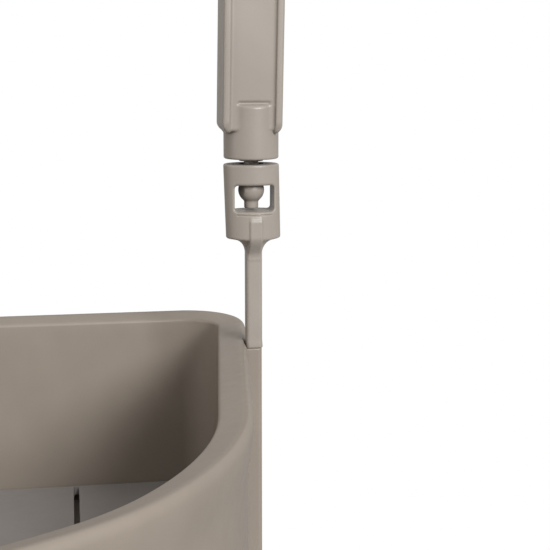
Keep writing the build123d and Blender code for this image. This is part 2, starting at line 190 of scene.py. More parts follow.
def bevelled(ob, width, segments=2, angle=35):
    m = ob.modifiers.new("edges", "BEVEL")
    m.width = width * 0.001
    m.segments = segments
    m.limit_method = "ANGLE"
    m.angle_limit = math.radians(angle)
    m.harden_normals = True
    n = ob.modifiers.new("normals", "WEIGHTED_NORMAL")
    n.keep_sharp = True
    return ob


def shade(ob, angle=35):
    me = ob.data
    me.polygons.foreach_set("use_smooth", [True] * len(me.polygons))
    me.set_sharp_from_angle(angle=math.radians(angle))


# ---- materials ------------------------------------------------------------------
class Tree:
    def __init__(self, name):
        self.mat = bpy.data.materials.new(name)
        self.mat.use_nodes = True
        self.nt = self.mat.node_tree
        self.nt.nodes.clear()
        self.out = self.nt.nodes.new("ShaderNodeOutputMaterial")
        self.bsdf = self.nt.nodes.new("ShaderNodeBsdfPrincipled")
        self.link(self.bsdf.outputs[0], self.out.inputs[0])
        self.place = self.node("ShaderNodeTexCoord").outputs["Object"]

    def node(self, kind, **props):
        n = self.nt.nodes.new(kind)
        for k, v in props.items():
            setattr(n, k, v)
        return n

    def link(self, a, b):
        self.nt.links.new(a, b)

    def noise(self, scale, detail=2.0, rough=0.5, stretch=None):
        src = self.place
        if stretch:
            m = self.node("ShaderNodeMapping")
            m.inputs["Scale"].default_value = stretch
            self.link(src, m.inputs["Vector"])
            src = m.outputs[0]
        n = self.node("ShaderNodeTexNoise")
        n.inputs["Scale"].default_value = scale
        n.inputs["Detail"].default_value = detail
        n.inputs["Roughness"].default_value = rough
        self.link(src, n.inputs["Vector"])
        return n.outputs["Fac"]

    def span(self, value, lo, hi, a=0.0, b=1.0):
        n = self.node("ShaderNodeMapRange")
        n.inputs["From Min"].default_value = a
        n.inputs["From Max"].default_value = b
        n.inputs["To Min"].default_value = lo
        n.inputs["To Max"].default_value = hi
        self.link(value, n.inputs["Value"])
        return n.outputs[0]

    def mix(self, fac, a, b, mode="MIX"):
        n = self.node("ShaderNodeMix", data_type="RGBA", blend_type=mode)
        for sock, v in ((n.inputs[0], fac), (n.inputs[6], a), (n.inputs[7], b)):
            if isinstance(v, bpy.types.NodeSocket):
                self.link(v, sock)
            elif isinstance(v, (int, float)):
                sock.default_value = v
            else:
                sock.default_value = (*v, 1.0)
        return n.outputs[2]

    def maths(self, op, a, b=None):
        n = self.node("ShaderNodeMath", operation=op)
        for sock, v in ((n.inputs[0], a), (n.inputs[1], b)):
            if v is None:
                continue
            if isinstance(v, bpy.types.NodeSocket):
                self.link(v, sock)
            else:
                sock.default_value = v
        return n.outputs[0]

    def bump(self, height, distance, strength=1.0, normal=None):
        n = self.node("ShaderNodeBump")
        n.inputs["Strength"].default_value = strength
        n.inputs["Distance"].default_value = distance
        self.link(height, n.inputs["Height"])
        if normal is not None:
            self.link(normal, n.inputs["Normal"])
        return n.outputs[0]


def lin(r, g, b):
    def c(v):
        v /= 255.0
        return v / 12.92 if v <= 0.04045 else ((v + 0.055) / 1.055) ** 2.4
    return (c(r), c(g), c(b))


def moulded(name, base, rough=0.42, grain=1.0, wear=0.5, specks=True):
    """Injection-moulded plastic: fine spark-eroded grain, faint flow marks, soft handling shine and paler edges."""
    t = Tree(name)
    dark = tuple(c * 0.955 for c in base)
    pale = tuple(min(1.0, c * 1.04) for c in base)
    cloud = t.noise(38.0, 3.0, 0.55)
    flow = t.noise(60.0, 2.0, 0.5, stretch=(1.0, 1.0, 0.22))
    col = t.mix(t.span(cloud, 0.0, 1.0, 0.36, 0.64), dark, pale)
    col = t.mix(t.span(flow, 0.0, 0.35, 0.52, 0.72), col, tuple(c * 0.975 for c in base))
    if specks:
        speck = t.noise(2600.0, 1.0, 0.5)
        col = t.mix(t.span(speck, 0.0, 0.08, 0.60, 0.78), col, tuple(min(1.0, c * 1.25) for c in base))
    worn = None
    if wear:
        geo = t.node("ShaderNodeNewGeometry")
        edge = t.span(geo.outputs["Pointiness"], 0.0, 1.0, 0.508, 0.56)
        worn = t.maths("MULTIPLY", edge, t.span(t.noise(420.0, 3.0, 0.6), 0.15, 1.0, 0.38, 0.62))
        col = t.mix(t.maths("MULTIPLY", worn, 0.16 * wear), col, tuple(min(1.0, c * 1.30 + 0.02) for c in base))
    t.link(col, t.bsdf.inputs["Base Color"])
    rv = t.maths("ADD", t.span(t.noise(150.0, 3.0, 0.6), -0.045, 0.045, 0.3, 0.7), t.span(cloud, -0.02, 0.02, 0.3, 0.7))
    rv = t.maths("ADD", rv, rough)
    if wear:
        rv = t.maths("SUBTRACT", rv, t.maths("MULTIPLY", worn, 0.06))
    t.link(rv, t.bsdf.inputs["Roughness"])
    t.bsdf.inputs["IOR"].default_value = 1.46
    t.bsdf.inputs["Specular IOR Level"].default_value = 0.36
    fine = t.noise(4200.0, 2.0, 0.55)
    coarse = t.noise(1500.0, 2.0, 0.5)
    height = t.maths("ADD", t.maths("MULTIPLY", fine, 0.6), t.maths("MULTIPLY", coarse, 0.4))
    n1 = t.bump(height, 0.00002 * grain, 0.55)
    n2 = t.bump(t.noise(34.0, 2.0, 0.5), 0.00012, 0.5, n1)
    t.link(n2, t.bsdf.inputs["Normal"])
    return t.mat


def rubber(name, base):
    t = Tree(name)
    fleck = t.noise(900.0, 3.0, 0.6)
    col = t.mix(t.span(fleck, 0.0, 1.0, 0.35, 0.65), tuple(c * 0.8 for c in base), tuple(c * 1.25 for c in base))
    dust = t.noise(120.0, 4.0, 0.6)
    col = t.mix(t.span(dust, 0.0, 0.22, 0.5, 0.75), col, tuple(c * 1.7 + 0.01 for c in base))
    t.link(col, t.bsdf.inputs["Base Color"])
    t.link(t.span(dust, 0.62, 0.82, 0.3, 0.7), t.bsdf.inputs["Roughness"])
    t.bsdf.inputs["Specular IOR Level"].default_value = 0.35
    t.link(t.bump(t.noise(1800.0, 2.0, 0.5), 0.00004, 0.6), t.bsdf.inputs["Normal"])
    return t.mat


def steel(name):
    t = Tree(name)
    lines = t.noise(2400.0, 2.0, 0.6, stretch=(1.0, 1.0, 0.06))
    stain = t.noise(260.0, 3.0, 0.6)
    col = t.mix(t.span(stain, 0.0, 1.0, 0.35, 0.65), (0.53, 0.53, 0.54), (0.66, 0.65, 0.63))
    t.link(col, t.bsdf.inputs["Base Color"])
    t.bsdf.inputs["Metallic"].default_value = 1.0
    t.link(t.span(lines, 0.24, 0.42, 0.3, 0.7), t.bsdf.inputs["Roughness"])
    t.link(t.bump(lines, 0.00001, 0.5), t.bsdf.inputs["Normal"])
    return t.mat


M_BODY = moulded("moulded_taupe", (0.172, 0.145, 0.119), 0.40)
M_ARM = moulded("moulded_taupe_fine", (0.196, 0.173, 0.149), 0.38)
M_FLOOR = moulded("floor_grey_taupe", (0.190, 0.176, 0.168), 0.36, 0.7, 0.0, False)
M_TRIM = moulded("moulded_taupe_plain", (0.200, 0.177, 0.153), 0.33, 1.0, 0.0, False)
M_PALE = moulded("natural_acetal", (0.62, 0.60, 0.55), 0.34, 0.5, 0.0, False)
M_LINER = rubber("liner_rubber", (0.028, 0.026, 0.024))
M_STEEL = steel("plain_steel")


# ---- basket outline ---------------------------------------------------------------
def outline():
    """Points round the rim's outer edge, with outward normals, symmetric about x = 0. Millimetres."""
    WH, YB, RC, TAP, LS, A1, A2, R1, R2 = 125.8, 43.2, 18.0, 6.8, 87.0, 36.9, 55.2, 103.7, 68.7
    x0 = WH - RC
    c0 = (x0, YB - RC)
    t = math.radians(-TAP)
    n = (math.cos(t), math.sin(t))
    d = (n[1], -n[0])
    p = (c0[0] + RC * n[0], c0[1] + RC * n[1])
    p1 = (p[0] + d[0] * LS, p[1] + d[1] * LS)
    c1 = (p1[0] - n[0] * R1, p1[1] - n[1] * R1)
    n1 = (math.cos(math.radians(-A1)), math.sin(math.radians(-A1)))
    p2 = (c1[0] + R1 * n1[0], c1[1] + R1 * n1[1])
    c2 = (p2[0] - n1[0] * R2, p2[1] - n1[1] * R2)
    n2 = (math.cos(math.radians(-A2)), math.sin(math.radians(-A2)))
    p3 = (c2[0] + R2 * n2[0], c2[1] + R2 * n2[1])
    r3 = p3[0] / n2[0]
    c3 = (0.0, p3[1] - n2[1] * r3)
    half = []

    def arc(c, r, a0, a1, n):
        for i in range(n):
            a = math.radians(a0 + (a1 - a0) * i / n)
            half.append((c[0] + r * math.cos(a), c[1] + r * math.sin(a), math.cos(a), math.sin(a)))
    xs = [x0 * i / 36 for i in range(36)] + [x + d for x in (0.0, 37.8, 75.6) for d in (-2.3, -2.2, 2.2, 2.3) if x + d > 0]
    for x in sorted(xs):
        half.append((x, YB, 0.0, 1.0))
    arc(c0, RC, 90, -TAP, 40)
    # straight side, with doubled stations at the post's notch
    ts = list(np.linspace(0, 1, 31)[:-1])
    for y in (POST_D / 2 + 0.42, POST_D / 2 + 0.34, -POST_D / 2 - 0.34, -POST_D / 2 - 0.42):
        ts.append((p[1] - y) / (p[1] - p1[1]))
    for s in sorted(set(ts)):
        half.append((p[0] + (p1[0] - p[0]) * s, p[1] + (p1[1] - p[1]) * s, n[0], n[1]))
    arc(c1, R1, -TAP, -A1, 24)
    arc(c2, R2, -A1, -A2, 12)
    arc(c3, r3, -A2, -90, 30)
    half.append((0.0, c3[1] - r3, 0.0, -1.0))
    left = [(-x, y, -nx, ny) for x, y, nx, ny in half[1:-1]][::-1]
    return np.array(half + left, float)


OUT = outline()


def at(o, z, k=None):
    q = OUT if k is None else OUT[k]
    x = q[..., 0] - q[..., 2] * o
    y = q[..., 1] - q[..., 3] * o
    return np.stack([x, y, np.zeros_like(x) + z], -1)


def arc_pts(cx, cy, r, a0, a1, n):
    return [(cx + r * math.cos(math.radians(a0 + (a1 - a0) * i / n)), cy + r * math.sin(math.radians(a0 + (a1 - a0) * i / n))) for i in range(n + 1)]


# section of the shell: (inward offset, height), clockwise from the rim's outer underside
DROP = 0.9       # inner edge of the rim sits lower than the outer edge
tilt = math.degrees(math.atan2(DROP, LIP_W - 3.2))
section = []
section += [(OVER * (1 - math.cos(math.pi * min(1, (h - 2.6) / 11.6))) / 2, RIM - h) for h in (13.0, 11.5, 10.0, 8.5, 7.0, 5.6, 4.3)]
section += [(0.0, RIM - 2.6)]
section += [(1.8 * (1 - math.cos(math.radians(a))), RIM - 2.6 + 2.6 * math.sin(math.radians(a))) for a in (6, 12, 19, 27, 36, 46, 57, 68, 78)]
ang = math.radians(tilt)
# flat of the rim, falling inwards, then the inner rounding
sx, sz = section[-1]
r_in = 1.05
ex = LIP_W - r_in
ez = sz - (ex - r_in * 0 - sx) * math.tan(ang)
cxi, czi = LIP_W - r_in, 0.0
ztan = sz - math.tan(ang) * ((LIP_W - r_in + r_in * math.sin(ang)) - sx)
czi = ztan - r_in * math.cos(ang)
for u in (0.25, 0.5, 0.75):
    xt = LIP_W - r_in + r_in * math.sin(ang)
    section.append((sx + (xt - sx) * u, sz + (ztan - sz) * u))
section += arc_pts(LIP_W - r_in, czi, r_in, 90 - tilt, 0, 7)
for u in (0.06, 0.2, 0.4, 0.6, 0.8, 0.94):
    section.append((LIP_W, czi + (FLOOR - 0.2 - czi) * u))
section += [(LIP_W, FLOOR - 0.2), (LIP_W, FLOOR - PANEL_T)]
section += [(LIP_W + LEDGE_W - 0.4, FLOOR - PANEL_T), (LIP_W + LEDGE_W, FLOOR - PANEL_T - 0.4),
            (LIP_W + LEDGE_W, FLOOR - PANEL_T - 1.8), (LIP_W + LEDGE_W - 0.4, FLOOR - PANEL_T - 2.2),
            (LIP_W - TUB_T + 0.6, FLOOR - PANEL_T - 2.2), (LIP_W - TUB_T, FLOOR - PANEL_T - 1.6)]
section += [(LIP_W - TUB_T, RIM - LIP_T - 0.9), (LIP_W - TUB_T - 0.3, RIM - LIP_T - 0.3), (LIP_W - TUB_T - 0.9, RIM - LIP_T)]
section += [(OVER + SKIRT_T + 0.5, RIM - LIP_T), (OVER + SKIRT_T, RIM - LIP_T - 0.5)]
section += [(OVER + SKIRT_T, BASE + 0.5), (OVER + SKIRT_T - 0.5, BASE), (OVER + 0.8, BASE)]
section += [(OVER + 0.8 - 0.8 * math.sin(math.radians(a)), BASE + 0.8 - 0.8 * math.cos(math.radians(a))) for a in (30, 60, 90)]
for u in (0.1, 0.3, 0.5, 0.7, 0.9):
    section.append((OVER, BASE + 0.8 + (RIM - 14.4 - BASE - 0.8) * u))


def sweep_ring(sec):
    n, m = len(OUT), len(sec)
    pts = np.concatenate([at(o, z) for o, z in sec])     # section-major
    faces = []
    for a in range(m):
        b = (a + 1) % m
        for i in range(n):
            j = (i + 1) % n
            faces.append((a * n + i, a * n + j, b * n + j, b * n + i))
    return pts, faces


pts, faces = sweep_ring(section)
secs = np.repeat(np.array(section), len(OUT), axis=0)
# ledge open under the slots' back ends
near = np.min(np.abs(pts[:, :1] - np.array([[-75.6, -37.8, 0.0, 37.8, 75.6]])), axis=1) < 2.25
open_ = (secs[:, 0] > LIP_W + 1) & near & (pts[:, 1] > 20)
pts[open_, 1] += secs[open_, 0] - LIP_W - 0.02
# the rim falls a little further inwards round the front
top = (secs[:, 1] > RIM - 4.5) & (secs[:, 0] > 2.0)
pts[top, 2] -= (0.3 * ramp(-pts[:, 1], 30.0, 110.0) * np.clip((secs[:, 0] - 2.0) / 5.0, 0, 1))[top]
notch = (np.abs(pts[:, 1]) <= POST_D / 2 + 0.37) & (np.abs(pts[:, 0]) > WALL_X)
pts[notch, 0] = np.sign(pts[notch, 0]) * WALL_X
shell = build("basket_moulding", pts, faces, M_BODY, "basket", weld=1e-7)
shade(shell, 40)
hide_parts("basket_shell")


# ribs, post pads and floor bearers of the same moulding
def block(bm, x0, x1, y0, y1, z0, z1, r=0.35):
    made = bmesh.ops.create_cube(bm, size=1.0)["verts"]
    for v in made:
        v.co = Vector(((x0 + x1) / 2 + v.co.x * (x1 - x0), (y0 + y1) / 2 + v.co.y * (y1 - y0), (z0 + z1) / 2 + v.co.z * (z1 - z0))) * 0.001
    edges = list({e for v in made for e in v.link_edges})
    if r:
        bmesh.ops.bevel(bm, geom=edges, offset=r * 0.001, segments=2, profile=0.5, affect="EDGES", clamp_overlap=True)


def row_span(x, o):
    """Front and back y of the outline, offset inwards by o, on the line x."""
    q = at(o, 0.0)
    ys = []
    for i in range(len(q)):
        a, b = q[i], q[(i + 1) % len(q)]
        if (a[0] - x) * (b[0] - x) <= 0 and a[0] != b[0]:
            u = (x - a[0]) / (b[0] - a[0])
            ys.append(a[1] + u * (b[1] - a[1]))
    return min(ys), max(ys)


def col_span(y, o):
    q = at(o, 0.0)
    xs = []
    for i in range(len(q)):
        a, b = q[i], q[(i + 1) % len(q)]
        if (a[1] - y) * (b[1] - y) <= 0 and a[1] != b[1]:
            u = (y - a[1]) / (b[1] - a[1])
            xs.append(a[0] + u * (b[0] - a[0]))
    return min(xs), max(xs)


bm = bmesh.new()
zt, zl = FLOOR - PANEL_T, FLOOR - PANEL_T - 2.2
for x in (-56.7, -18.9, 18.9, 56.7):
    a, b = row_span(x, LIP_W + LEDGE_W - 1.0)
    block(bm, x - 2, x + 2, a, b, zl + 0.02, zt - 0.02)
for y in (-22.0, -86.0):
    a, b = col_span(y, LIP_W + LEDGE_W - 1.0)
    stops = [a] + [x + d for x in (-75.6, -37.8, 0.0, 37.8, 75.6) if a + 6 < x < b - 6 for d in (-4.0, 4.0)] + [b]
    for x0, x1 in zip(stops[::2], stops[1::2]):
        block(bm, x0, x1, y - 2, y + 2, zl + 0.05, zt - 0.05)
for s in (1, -1):
    xa, xb = sorted((s * (WALL_X - 3.2), s * WALL_X))
    block(bm, xa, xb, -POST_D / 2 - 1.2, POST_D / 2 + 1.2, BASE + 0.05, RIM - LIP_T + 0.3, 0.5)
def plate(bm, o, z0, z1, holes, soft=0.4):
    """Flat plate inside the outline, offset by o, with openings given as loops of (x, y)."""
    n = len(OUT)
    rings = []
    for d, z in ((soft, z1), (0.0, z1 - soft), (0.0, z0 + soft), (soft, z0)):
        rings.append([bm.verts.new(Vector(q) * 0.001) for q in at(o + d, z)])
    for a, b in zip(rings[:-1], rings[1:]):
        for i in range(n):
            j = (i + 1) % n
            bm.faces.new((a[i], a[j], b[j], b[i]))
    tops, lows = [], []
    for hole in holes:
        two = [[bm.verts.new(Vector((x, y, z)) * 0.001) for x, y in hole] for z in (z1, z0)]
        for i in range(len(hole)):
            j = (i + 1) % len(hole)
            bm.faces.new((two[0][i], two[1][i], two[1][j], two[0][j]))
        tops.append(two[0])
        lows.append(two[1])
    for rim_loop, loops in ((rings[0], tops), (rings[-1], lows)):
        edges = []
        for loop in [rim_loop] + loops:
            for i in range(len(loop)):
                a, b = loop[i], loop[(i + 1) % len(loop)]
                edges.append(bm.edges.get((a, b)) or bm.edges.new((a, b)))
        bmesh.ops.triangle_fill(bm, use_beauty=True, use_dissolve=False, edges=edges)


# closed bottom with its drain holes
plate(bm, LIP_W - TUB_T, zl - 1.8, zl, [[(x + 2.5 * math.cos(a * math.pi / 12), y + 2.5 * math.sin(a * math.pi / 12)) for a in range(24)]
                                       for x in (-47.2, -28.4, -9.5, 9.5, 28.4, 47.2) for y in (10.0, -54.0)])
n = len(OUT)
seg = np.linalg.norm(np.roll(OUT[:, :2], -1, 0) - OUT[:, :2], axis=1)
pos = np.concatenate([[0], np.cumsum(seg)])[:-1]
total = seg.sum()
for k in range(22):
    s = total * (k + 0.5) / 22
    i = int(np.argmin(np.abs(pos - s)))
    x, y, nx, ny = OUT[i]
    if abs(y) < 9 and abs(x) > 100:
        continue
    tx, ty = -ny, nx
    o0, o1 = OVER + SKIRT_T - 0.2, LIP_W - TUB_T + 0.2
    quad = []
    for z in (BASE + 8, RIM - LIP_T + 0.1):
        for o, h in ((o0, -1), (o1, -1), (o1, 1), (o0, 1)):
            quad.append(bm.verts.new(Vector((x - nx * o + tx * h, y - ny * o + ty * h, z)) * 0.001))
    for f in ((3, 2, 1, 0), (4, 5, 6, 7), (0, 1, 5, 4), (1, 2, 6, 5), (2, 3, 7, 6), (3, 0, 4, 7)):
        bm.faces.new([quad[i] for i in f])
bmesh.ops.recalc_face_normals(bm, faces=bm.faces[:])
me = bpy.data.meshes.new("basket_ribs")
bm.to_mesh(me)
bm.free()
ribs = bpy.data.objects.new("basket_ribs", me)
scene.collection.objects.link(ribs)
me.materials.append(M_BODY)
shade(ribs, 30)
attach(ribs, "basket")
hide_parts("basket_shell")


# ---- slotted floor panel ----------------------------------------------------------------
bm = bmesh.new()
slots = []
for i in (-2, -1, 0, 1, 2):
    x, w = i * 37.8, 0.81
    yf, yb = {0: -118.0, 1: -112.0, 2: -92.0}[abs(i)], 43.2 - LIP_W - 0.25 - 1.2
    loop = [(x + w * math.cos(a), yb - w + w * math.sin(a)) for a in np.linspace(0, math.pi, 9)]
    loop += [(x + w * math.cos(a), yf + w + w * math.sin(a)) for a in np.linspace(math.pi, 2 * math.pi, 9)]
    slots.append(loop)
plate(bm, LIP_W + 0.25, FLOOR - PANEL_T, FLOOR, slots, 0.3)
bmesh.ops.recalc_face_normals(bm, faces=bm.faces[:])
me = bpy.data.meshes.new("drain_floor_moulding")
bm.to_mesh(me)
bm.free()
panel = bpy.data.objects.new("drain_floor_moulding", me)
scene.collection.objects.link(panel)
me.materials.append(M_FLOOR)
shade(panel, 30)
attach(panel, "basket")
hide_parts("drain_floor")


# ---- yoke and drop rod ---------------------------------------------------------------
def ellipse(x, y, a, b):
    k = np.sqrt((x / a) ** 2 + (y / b) ** 2) + 1e-9
    g = np.sqrt((x / a ** 2) ** 2 + (y / b ** 2) ** 2) + 1e-9
    return k * (k - 1) / g


def drop_rod(x, y, z):
    """x, y from the ball's centre, z from the links' datum."""
    u = np.clip((6.6 - z) / 19.95, 0, 1)
    xm = 0.0 + 0.52 * u
    a = 7.45 - 0.12 * u
    wall = ellipse(x - xm, y, a, 5.6)
    body = both(wall, z - 6.6, 0.55)
    body = both(body, -(z + 13.35), 0.5)
    xr = X_ROD - XB
    rod = both(np.abs(x - xr) - 2.15, np.abs(y) - 2.15, 0.85)
    rod = rod - ramp(-z, 41.0, 43.3) * 0.14
    rod = both(rod, slab(z, ROD_END, -9.0), 0.1)
    out = join(body, rod, 4.2)
    # rib on the collar that runs down into the rod
    front = -6.05 + 3.9 * ramp(-z, 12.6, 18.6)
    front = front + 0.45 * ramp(z, -8.6, -7.2)
    rib = both(np.abs(x - xr) - 1.75, front - y, 0.5)
    rib = both(both(rib, y, 0.0), slab(z, -19.5, -6.9), 0.45)
    out = join(out, rib, 0.3)
    win = both(slab(x, 119.3 - XB, 129.7 - XB), slab(z, -5.85, 1.07), 0.9)
    out = cut(out, win, 0.75)
    groove = np.hypot(z + 6.72, np.maximum(slab(x, -4.3, 4.9), 0)) - 0.17
    out = cut(out, both(groove, -(wall + 0.2), 0.0), 0.06)
    ball = np.sqrt(x * x + y * y + (z - BZ) ** 2) - 3.52
    out = cut(out, ball, 0.15)
    bore = (np.hypot(x, y) - (2.45 + (z - 1.8) * 0.179)) * 0.984
    bore = both(bore, -(z - 1.3), 0.0)
    out = cut(out, bore, 0.3)
    spigot = both(np.hypot(x - xr, y) - 1.25, slab(z, -54.4, -43.0), 0.3)
    return np.minimum(out, spigot)


gx = steps((-8.0, 0.22), 8.8)
gy = steps((-6.6, 0.22), 6.2)
gz = steps((-55.0, 1.2), (-44.4, 0.22), (-42.6, 0.5), (-40.8, 1.2), (-22.0, 0.4), (-19.5, 0.22), (-7.4, 0.13), (-5.4, 0.22), (7.2, 0.22), 7.4)
P, Q = polygonize(drop_rod, gx, gy, gz)
for side, sgn in (("right", 1), ("left", -1)):
    R = P.copy()
    R[:, 0] = sgn * (R[:, 0] + XB)
    R[:, 2] += ZB
    ob = build("drop_rod_moulding_" + side, R, Q if sgn > 0 else Q[:, ::-1], M_ARM, "basket")
    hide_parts("drop_rod_" + side)


# ---- ball stud ------------------------------------------------------------------------
def stud_field(x, y, z):
    r = np.hypot(x, y)
    ball = np.sqrt(x * x + y * y + (z - BZ) ** 2) - 3.47
    # flat moulded on the side of the ball
    ball = both(ball, -(x * math.cos(0.42) + y * math.sin(0.42)) - 3.10, 0.18)
    tail = both(r - 1.9, slab(z, -5.3, -1.0), 0.35)
    out = join(ball, tail, 0.3)
    neck = both(r - 1.9, slab(z, 0.0, 7.8), 0.0)
    out = join(out, neck, 0.4)
    flange = both(r - 3.28, slab(z, 7.35, 7.75), 0.18)
    shoulder = both(r - 3.03, slab(z, 7.45, 8.4), 0.1)
    out = join(join(out, flange, 0.12), shoulder, 0.15)
    shank = both(r - 2.5, slab(z, 7.8, 31.6), 0.35)
    return np.minimum(out, shank)


g = steps((-3.8, 0.2), 3.8)
gz = steps((-6.0, 0.2), (6.6, 0.15), (9.0, 0.6), (30.4, 0.2), 32.0)
P, Q = polygonize(stud_field, g, g, gz)
for side, sgn in (("right", 1), ("left", -1)):
    R = P.copy()
    R[:, 0] = sgn * (R[:, 0] + XB)
    R[:, 2] += ZB
    ob = build("ball_stud_moulding_" + side, R, Q if sgn > 0 else Q[:, ::-1], M_ARM, "hanger")
    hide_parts("ball_stud_" + side)


# ---- hanger bail -----------------------------------------------------------------------
zc = FLANGE_END          # heights from the ball centre
xt = XL + math.tan(LEAN) * (92.0 - zc)
L0 = (92.0 - zc) / math.cos(LEAN)
cxs = xt - CR * math.cos(LEAN)
czs = 92.0 + CR * math.sin(LEAN)
turn = math.radians(62.0)
L1 = CR * turn
a_end = turn - LEAN
px, pz = cxs + CR * math.cos(a_end), czs + CR * math.sin(a_end)
RB = px / math.cos(a_end)
cz2 = pz - math.sin(a_end) * RB
L2 = RB * (math.pi / 2 - a_end)
S_END = L0 + L1 + L2
CROWN = cz2 + RB


def along(h, s):
    """Point of the bail: h outwards from its centre line, s along it from the flange ends."""
    x0 = XL + math.sin(LEAN) * s + math.cos(LEAN) * h
    z0 = zc + math.cos(LEAN) * s - math.sin(LEAN) * h
    t1 = np.clip((s - L0) / CR, 0, turn) - LEAN
    x1 = cxs + (CR + h) * np.cos(t1)
    z1 = czs + (CR + h) * np.sin(t1)
    t2 = a_end + (s - L0 - L1) / RB
    x2 = (RB + h) * np.cos(t2)
    z2 = cz2 + (RB + h) * np.sin(t2)
    x = np.where(s < L0, x0, np.where(s < L0 + L1, x1, x2))
    z = np.where(s < L0, z0, np.where(s < L0 + L1, z1, z2))
    return x, z


Y0, Y1 = -CH_D / 2, CH_D / 2


def bail_field(h, y, s):
    x, z = along(h, s)
    ah = np.abs(h)
    inner = CH_W / 2 - CH_FL
    # side flanges, with rounded corners at the foot
    flange = both(both(ah - CH_W / 2, inner - ah, 0.3), np.maximum(slab(y, Y0, Y1), -s), 0.0)
    ends = both(ah - CH_W / 2, np.abs(y) - CH_D / 2, 0.75)
    ends = both(ends, -s, 2.8)
    corner = both(-s, np.abs(y) - CH_D / 2, 3.4)
    flange = both(both(flange, np.maximum(corner, ends), 0.0), inner - ah, 0.6)
    # web between them, thicker and rounded at its foot
    back = Y0 + CH_LIP + CH_WEB + (2.0 - Y0 - CH_LIP - CH_WEB) * (1 - ramp(z, 30.4, 32.6))
    face = both(Y0 + CH_LIP - y, WEB_END - z, 0.9)
    web = np.maximum(np.maximum(face, y - back), ah - inner - 0.5)
    out = join(flange, web, 1.05)
    for zz in (44.0, 66.0, 88.0):
        sp = (zz - zc) / math.cos(LEAN)
        web = both(np.abs(s - sp) - 0.8, np.maximum(ah - (CH_W / 2 - 1), slab(y, Y0 + CH_LIP + CH_WEB - 0.6, 3.7)), 0.25)
        out = join(out, web, 0.5)
    r = np.hypot(x - XB, y)
    barrel = both(both(r - BAR_R, -(z - BAR_BOT), 0.5), z - BAR_TOP + 0.5 * ramp(-y, 5.6, 7.4), 0.9)
    crease = both(np.hypot(z - BAR_TOP - 0.1, y - (Y0 + CH_LIP)) - 0.34, np.abs(x - XB) - 4.1, 0.3)
    out = join(out, barrel, 0.3)
    out = cut(out, crease, 0.5)
    seat = both(np.abs(x - XB) - 5.0, np.maximum(slab(y, 0.0, 5.2), slab(z, 20.0, NUT_Z)), 0.3)
    out = join(out, seat, 0.3)
    out = cut(out, both(r - 4.7, slab(z, NUT_Z, 37.0), 0.0), 0.2)
    out = cut(out, both(r - 2.52, slab(z, 0.0, 30.0), 0.0), 0.15)
    # hub at the crown
    rh = np.hypot(x, y)
    hub = both(rh - 12.0, np.abs(z - CROWN) - 11.0, 0.9)
    fill = both(both(slab(y, Y0 + 0.02, 0.0), np.abs(x) - 12.0, 0.3), ah - CH_W / 2 + 0.3, 0.5)
    out = join(join(out, fill, 0.4), hub, 1.2)
    out = cut(out, np.maximum(rh - 4.05, np.abs(z - CROWN) - 14.0), 0.3)
    out = cut(out, both(rh - 8.0, np.maximum(z - (CROWN - 4.0), -(z - CROWN + 14.0)), 0.0), 0.4)
    return out


gh = steps((-12.6, 0.42), (-8.4, 0.22), (-5.3, 0.5), (5.3, 0.22), (8.4, 0.42), 12.6)
gy = steps((-12.6, 0.5), (-7.8, 0.22), (-3.7, 0.5), (6.4, 0.25), (7.7, 0.5), 12.6)
sp = [(zz - zc) / math.cos(LEAN) for zz in (44.0, 66.0, 88.0)]
gs = steps((-7.6, 0.22), (19.0, 0.6), (sp[0] - 1.6, 0.3), (sp[0] + 1.6, 1.4), (sp[1] - 1.6, 0.3), (sp[1] + 1.6, 1.4), (sp[2] - 1.6, 0.3),
           (sp[2] + 1.6, 1.2), (L0 + L1, 1.4), (S_END - 16.0, 0.35), S_END - 0.175)
gs = np.append(gs, S_END + 0.175)
P, Q = polygonize(bail_field, gh, gy, gs)
keep = P[:, 2] > S_END - 0.2
P[keep & (np.abs(P[:, 2] - S_END) < 0.19), 2] = S_END
x, z = along(P[:, 0], P[:, 2])
R = np.stack([x, P[:, 1], z + ZB], 1)
R[P[:, 2] == S_END, 0] = 0.0
bail = build("bail_moulding", R, Q, M_ARM, "hanger", mirror=True, weld=2e-6)
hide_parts("hanger_bail")


# ---- swivel hook ------------------------------------------------------------------------
RC_H, MOUTH, PHI = 17.0, 29.0, math.radians(55.0)
cm = RC_H - MOUTH
r_low = (cm + MOUTH * math.cos(PHI)) / (1 - math.cos(PHI))
cl = (r_low, -(MOUTH + r_low) * math.sin(PHI))
Z_HUB1 = ZB + CROWN + 11.0
Z_COL = Z_HUB1 + 1.0
Z_NECK = cl[1] - 4.0


